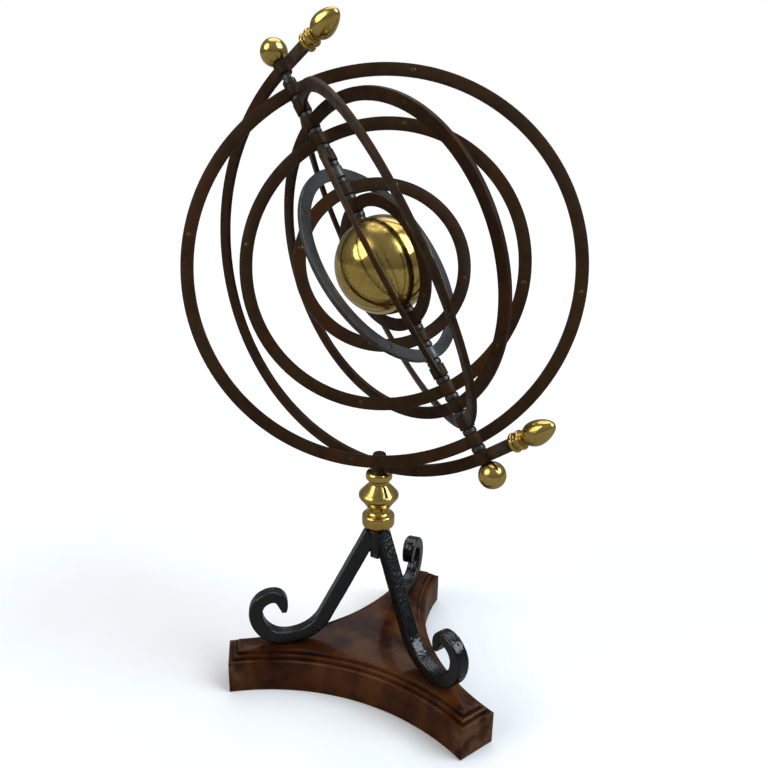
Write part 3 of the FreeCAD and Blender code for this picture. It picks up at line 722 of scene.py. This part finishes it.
def makeArm():
    middle = (arm["inner"] + arm["outer"]) / 2
    square = [(-0.5, -0.5), (0.5, -0.5), (0.5, 0.5), (-0.5, 0.5)]
    gap = math.degrees(arm["clear"] / middle)
    down = onRod().inverted().to_3x3() @ Vector((0, 0, -1))
    stemAngle = math.degrees(math.atan2(down.z * middle - arm["rise"], down.x * middle)) % 360
    parts = []
    for start, end in ((90 + gap, stemAngle - gap), (stemAngle + gap, 270 - gap)):
        stations = []
        for step in range(arm["spanSteps"] + 1):
            angle = math.radians(start + (end - start) * step / arm["spanSteps"])
            outward = Vector((math.cos(angle), 0, math.sin(angle)))
            stations.append(bandStation(Vector((0, 0, arm["rise"])) + outward * middle, outward))
        parts.append(sweep("arm_span", stations, square))
    for sign in (1, -1):
        height = arm["rise"] + sign * middle
        stations = [bandStation(Vector((reach, 0, height)), Vector((0, 0, sign)))
                    for reach in (arm["clear"], arm["overhang"])]
        parts.append(sweep("arm_end", stations, square))
    for part in parts:
        bevelEdges(part, arm["edge"])
        settle(part, onRod())
    for sign in (1, -1):
        centre = arm["rise"] + sign * middle
        boss = tube("arm_boss", arm["bore"], arm["boss"], centre - arm["bossLength"] / 2,
                    centre + arm["bossLength"] / 2, 0.7)
        parts.append(useSlot(settle(boss, onRod()), 1))
    low = globe.z / mm + arm["rise"] * math.cos(rodTilt) - arm["outer"]
    boss = tube("stem_boss", arm["swivelBore"], arm["boss"], low, low + arm["bossLength"], 0.5)
    parts.append(settle(boss))
    piece = joined("half_ring_arm", parts)
    paint(piece, "brownIron", "darkSteel")
    stand(piece, "arm", "ring_iron", "meridian_arm")


makeArm()

# polar rod, ball finials and acorn finials
rod = {"radius": 4.76, "low": -235.2, "length": 477.0, "chamfer": 0.8}
ballFinial = {"radius": 14.0, "seat": 0.6, "bore": 4.8, "boreDepth": 0.6}
acorn = {"disc": 10.0, "discLength": 4.3, "discRound": 2.0, "pitch": 7.6, "groove": 6.9, "radius": 11.7,
         "half": 17.0, "middle": 31.4, "taper": 0.27, "blunt": 0.86, "eggSteps": 34, "eggFoot": 140.0,
         "flutes": 9, "fluteDepth": 0.009, "twist": 0.1, "stud": 2.0, "studLength": 8.0}


def makeRod():
    high = rod["low"] + rod["length"]
    low, radius, chamfer = rod["low"], rod["radius"], rod["chamfer"]
    line = [Vector((0, high)), Vector((radius - chamfer, high)), Vector((radius, high - chamfer)),
            Vector((radius, low + chamfer)), Vector((radius - chamfer, low)), Vector((0, low))]
    piece = settle(turned("turned_polar_rod", line, 48), onRod())
    paint(piece, "darkSteel")
    stand(piece, "arm", "dark_steel", "polar_rod")


def makeBallFinial(name, sign):
    middle = (arm["inner"] + arm["outer"]) / 2
    radius = ballFinial["radius"]
    centre = arm["rise"] + sign * (middle + arm["bossLength"] / 2 + radius - ballFinial["seat"])
    mouth = 180 - math.degrees(math.asin(ballFinial["bore"] / ballFinial["radius"]))
    line = arcLine((0, 0), ballFinial["radius"], 0, mouth, 40)
    line += [Vector((ballFinial["bore"], ballFinial["boreDepth"])), Vector((0, ballFinial["boreDepth"]))]
    place = onRod(centre) @ (Matrix() if sign > 0 else Matrix.Rotation(math.pi, 4, "X"))
    piece = settle(turned("polished_" + name, line, 72), place)
    paint(piece, "brass")
    stand(piece, "arm", "brass", name)


# egg profile, narrower towards its tip, between two angles from the tip
def eggLine(tipAngle, baseAngle, steps):
    line = []
    for step in range(steps + 1):
        angle = math.radians(tipAngle + (baseAngle - tipAngle) * step / steps)
        radius = acorn["radius"] * math.sin(angle) ** acorn["blunt"] * (1 - acorn["taper"] * math.cos(angle))
        line.append(Vector((radius, acorn["middle"] + acorn["half"] * math.cos(angle))))
    return line


def makeAcorn(name, sign):
    second = acorn["pitch"] + acorn["discLength"]
    line = eggLine(0, acorn["eggFoot"], acorn["eggSteps"])
    disc, edge, groove = acorn["disc"], acorn["discRound"], acorn["groove"]
    first, pitch = acorn["discLength"], acorn["pitch"]
    stud, end = acorn["stud"], -acorn["studLength"]
    line += roundedLine([(line[-1].x, line[-1].y, 0), (groove, second + 1.6, 0.5), (groove, second, 0.5),
                         (disc, second, edge), (disc, pitch, edge), (groove, pitch, 0.5),
                         (groove, first, 0.5), (disc, first, edge), (disc, 0, edge), (stud, 0, 0.1),
                         (stud, end, 0.4), (0, end, 0)])[1:]
    piece = turned("brass_" + name, line, 110)
    settle(piece)
    eggStart = (second + 2.2) * mm
    span = acorn["middle"] * mm + acorn["half"] * mm - eggStart
    for vertex in piece.data.vertices:   # shallow flutes that fade at both ends of the egg
        share = (vertex.co.z - eggStart) / span
        if 0 < share < 1:
            angle = math.atan2(vertex.co.y, vertex.co.x) * acorn["flutes"]
            angle += share * acorn["twist"] * 2 * math.pi
            swell = 1 + acorn["fluteDepth"] * math.cos(angle) * math.sin(math.pi * share) ** 0.7
            vertex.co.x *= swell
            vertex.co.y *= swell
    middle = (arm["inner"] + arm["outer"]) / 2
    start = Matrix.Translation(Vector((arm["overhang"], 0, arm["rise"] + sign * middle)) * mm)
    piece.data.transform(onRod() @ start @ Matrix.Rotation(math.pi / 2, 4, "Y"))
    paint(piece, "brass")
    stand(piece, "arm", "brass", name)


makeRod()
for side, sign in (("upper", 1), ("lower", -1)):
    makeBallFinial(side + "_ball_finial", sign)
    makeAcorn(side + "_acorn_finial", sign)
print("arm, rod and finials made")

# rings with their bosses and rivets
ring = {"outer": 203.2, "pitch": 19.05, "width": 12.7, "thickness": 4.8, "edge": 0.75, "boss": 7.94,
        "bossLength": 12.4, "bore": 4.84, "clear": 6.2, "count": 8,
        "turns": (38.0, 135.1, 163.2, 33.7, 121.5, 92.5, 47.9, 160.2),
        "rivet": 2.5, "rivetDome": 1.6, "rivetProud": 0.25, "rivetAngle": 54.0, "steps": 96,
        # ring 6 takes the iron with a painted sheen of grey-blue reflected light
        "finish": {6: "bluishIron"}}
collar = {"edge": 6.1, "waist": 7.15, "length": 6.3, "shoulder": 1.5}


def ringMiddle(number):
    return ring["outer"] - ring["pitch"] * (number - 1) - ring["width"] / 2


# one half of the flat ring, from boss to boss, as a square section screwed round its centre
def halfBand(number, side):
    middle = ringMiddle(number)
    inner = (middle - ring["width"] / 2) * mm
    outer = (middle + ring["width"] / 2) * mm
    half = ring["thickness"] / 2 * mm
    gap = math.asin(ring["clear"] / middle)
    corners = [(outer, 0, half), (outer, 0, -half), (inner, 0, -half), (inner, 0, half)]
    piece = addPiece("band", corners, [(0, 1), (1, 2), (2, 3), (3, 0)], [])
    screw = piece.modifiers.new("turn", "SCREW")
    screw.angle = math.pi - 2 * gap
    screw.steps = ring["steps"]
    screw.render_steps = ring["steps"]
    settle(piece)
    work = bmesh.new()
    work.from_mesh(piece.data)
    rim = [edge for edge in work.edges if edge.is_boundary]
    bmesh.ops.holes_fill(work, edges=rim, sides=4)
    bmesh.ops.recalc_face_normals(work, faces=work.faces[:])
    work.to_mesh(piece.data)
    work.free()
    bevelEdges(piece, ring["edge"])
    # the ring's plane is the local XZ plane, its bosses on local Z
    start = Matrix.Rotation(gap + math.pi * side - math.pi / 2, 4, "Z")
    flat = Matrix.Rotation(math.pi / 2, 4, "X")
    return settle(piece, onRod(turn=ring["turns"][number - 1]) @ flat @ start)


def makeRing(number):
    turn = ring["turns"][number - 1]
    parts = [halfBand(number, 0), halfBand(number, 1)]
    for sign in (1, -1):
        centre = sign * ringMiddle(number)
        boss = tube("boss", ring["bore"], ring["boss"], centre - ring["bossLength"] / 2,
                    centre + ring["bossLength"] / 2, 0.8)
        parts.append(useSlot(settle(boss, onRod(turn=turn)), 1))
    piece = joined("iron_ring_%d" % number, parts)
    paint(piece, ring["finish"].get(number, "brownIron"), "darkSteel")
    stand(piece, "ring_%d_body" % number, "ring_iron", "ring_%d" % number)


def makeRivets(number):
    half = ring["thickness"] / 2
    proud = half + ring["rivetProud"]
    line = roundedLine([(0, proud, 0), (ring["rivetDome"], proud, 1.5), (ring["rivet"], half - 0.1, 0.2),
                        (ring["rivet"], 0.1 - half, 0.2), (ring["rivetDome"], -proud, 1.5), (0, -proud, 0)],
                       arcSteps=4)
    rivets = []
    for quarter in range(4):
        angle = math.radians(ring["rivetAngle"] + 90 * quarter)
        middle = ringMiddle(number)
        shift = Matrix.Translation(Vector((middle * math.cos(angle), 0, middle * math.sin(angle))) * mm)
        across = Matrix.Rotation(math.pi / 2, 4, "X")
        rivet = turned("rivet", line, 32)
        rivets.append(settle(rivet, onRod(turn=ring["turns"][number - 1]) @ shift @ across))
    group = joined("brass_rivets_%d" % number, rivets)
    paint(group, "rivetBrass")
    stand(group, "ring_%d_body" % number, "rivet_brass", "ring_%d_rivets" % number)


def makeCollar(node, centre):
    half = collar["length"] / 2
    swell = half - collar["shoulder"]
    bore, edge, waist = ring["bore"], collar["edge"], collar["waist"]
    line = roundedLine([(bore, half, 0.1), (edge, half, 0.3), (waist, swell, 1.2), (waist, -swell, 1.2),
                        (edge, -half, 0.3), (bore, -half, 0.1)], closed=True, arcSteps=4)
    piece = settle(turned("turned_" + node, line, 48, closed=True), onRod(centre))
    paint(piece, "darkSteel")
    stand(piece, "arm", "dark_steel", node)


for number in range(1, ring["count"] + 1):
    makeRing(number)
    makeRivets(number)
for index in range(ring["count"] + 1):
    gapMiddle = ring["outer"] - ring["pitch"] * index + (ring["pitch"] - ring["width"]) / 2
    makeCollar("lower_collar_%d" % (index + 1), -gapMiddle)
    makeCollar("upper_collar_%d" % (index + 1), gapMiddle)
print("rings, rivets and collars made")

# hollow brass ball and the bushes it turns on
ball = {"radius": 49.2, "wall": 1.6, "drop": 1.5, "hole": 6.4, "bushFlange": 10.0, "bushFlangeLength": 2.4,
        "bushLength": 12.0, "bushRecess": 0.3, "clear": 0.02}


def makeBall():
    inner = ball["radius"] - ball["wall"]
    outHole = math.degrees(math.asin((ball["hole"] + ball["clear"]) / ball["radius"]))
    inHole = math.degrees(math.asin((ball["hole"] + ball["clear"]) / inner))
    line = arcLine((0, 0), ball["radius"], outHole, 180 - outHole, 72)
    line += arcLine((0, 0), inner, 180 - inHole, inHole, 36)
    piece = settle(turned("polished_ball", line, 144, closed=True), onRod(-ball["drop"]))
    paint(piece, "brass")
    stand(piece, "ball", "brass", "brass_ball")

    seat = math.sqrt(inner ** 2 - ball["bushFlange"] ** 2) - 0.05
    mouth = ball["radius"] - ball["bushRecess"]
    under = seat - ball["bushFlangeLength"]
    end = mouth - ball["bushLength"]
    line = roundedLine([(ring["bore"], mouth, 0.3), (ball["hole"], mouth, 0.5), (ball["hole"], seat, 0),
                        (ball["bushFlange"], seat, 0.3), (ball["bushFlange"], under, 0.3),
                        (ball["hole"], under, 0), (ball["hole"], end, 0.3), (ring["bore"], end, 0.1)],
                       closed=True, arcSteps=4)
    bushes = []
    for flip in (0.0, math.pi):
        bush = turned("bush", line, 48, closed=True)
        bushes.append(settle(bush, onRod(-ball["drop"]) @ Matrix.Rotation(flip, 4, "X")))
    group = joined("brass_bushes", bushes)
    paint(group, "rivetBrass")
    stand(group, "ball", "brass", "ball_bushes")


makeBall()
print("ball made")

# floor, light and camera
studio = {"floorSize": 40.0, "camera": (0.4514, -0.6420, 0.5944), "azimuth": 34.53, "elevation": 18.94,
          "roll": 1.27, "lens": 36.72, "shift": (-0.005, 0.03466),
          "suns": (("key", 106.0, 46.0, 2.2, 40.0, (0.80, 0.91, 1.0)),
                   ("fill", -30.0, 34.0, 1.3, 40.0, (1.0, 0.96, 0.90)),
                   ("top", 215.0, 66.0, 1.0, 50.0, (1.0, 1.0, 1.0)))}


def makeFloor():
    half = studio["floorSize"] / 2
    floor = addPiece("floor", [(-half, -half, 0), (half, -half, 0), (half, half, 0), (-half, half, 0)], [],
                     [(0, 1, 2, 3)])
    material, tree, surface, where = newFinish("paleFloor", Roughness=0.9)
    tone = spread(tree, noiseMap(tree, where, 3.0), 0.3, 0.7, 0.0, 1.0)
    body = mixed(tree, tone, colour(0.90, 0.90, 0.90), colour(0.92, 0.92, 0.92))
    seen = tree.nodes.new("ShaderNodeLightPath").outputs["Is Camera Ray"]
    body = mixed(tree, seen, colour(0.26, 0.25, 0.24), body)   # throws little light back at the object
    tree.links.new(body, surface.inputs["Base Color"])
    floor.data.materials.append(material)


def makeLights():
    for name, azimuth, elevation, strength, spreadAngle, tint in studio["suns"]:
        lamp = bpy.data.lights.new(name, "SUN")
        lamp.energy = strength
        lamp.angle = math.radians(spreadAngle)
        lamp.color = tint
        holder = bpy.data.objects.new(name, lamp)
        around, above = math.radians(azimuth), math.radians(elevation)
        towards = Vector((math.sin(around) * math.cos(above), -math.cos(around) * math.cos(above),
                          math.sin(above)))
        holder.rotation_euler = (-towards).to_track_quat("-Z", "Y").to_euler()
        bpy.context.scene.collection.objects.link(holder)
    world = bpy.data.worlds.new("studio")
    bpy.context.scene.world = world
    world.use_nodes = True
    tree = world.node_tree
    background = tree.nodes["Background"]
    direction = tree.nodes.new("ShaderNodeTexCoord").outputs["Generated"]
    height = addNode(tree, "ShaderNodeSeparateXYZ", in0=direction).outputs[2]
    sky = mixed(tree, spread(tree, height, -0.3, 0.9), colour(0.14, 0.135, 0.13), colour(0.27, 0.29, 0.32))
    seen = tree.nodes.new("ShaderNodeLightPath").outputs["Is Camera Ray"]
    shown = mixed(tree, seen, sky, colour(1.0, 1.0, 1.0))
    tree.links.new(shown, background.inputs["Color"])


def makeCamera():
    lens = bpy.data.cameras.new("camera")
    lens.lens = studio["lens"]
    lens.shift_x, lens.shift_y = studio["shift"]
    lens.clip_start = 0.01
    holder = bpy.data.objects.new("camera", lens)
    turn = Matrix.Rotation(math.radians(studio["azimuth"]), 4, "Z")
    tip = Matrix.Rotation(math.radians(90 - studio["elevation"]), 4, "X")
    roll = Matrix.Rotation(math.radians(studio["roll"]), 4, "Z")
    holder.matrix_world = Matrix.Translation(studio["camera"]) @ turn @ tip @ roll
    bpy.context.scene.collection.objects.link(holder)
    bpy.context.scene.camera = holder


makeFloor()
makeLights()
makeCamera()
bpy.context.scene.view_settings.view_transform = "Standard"

print("scene ready")
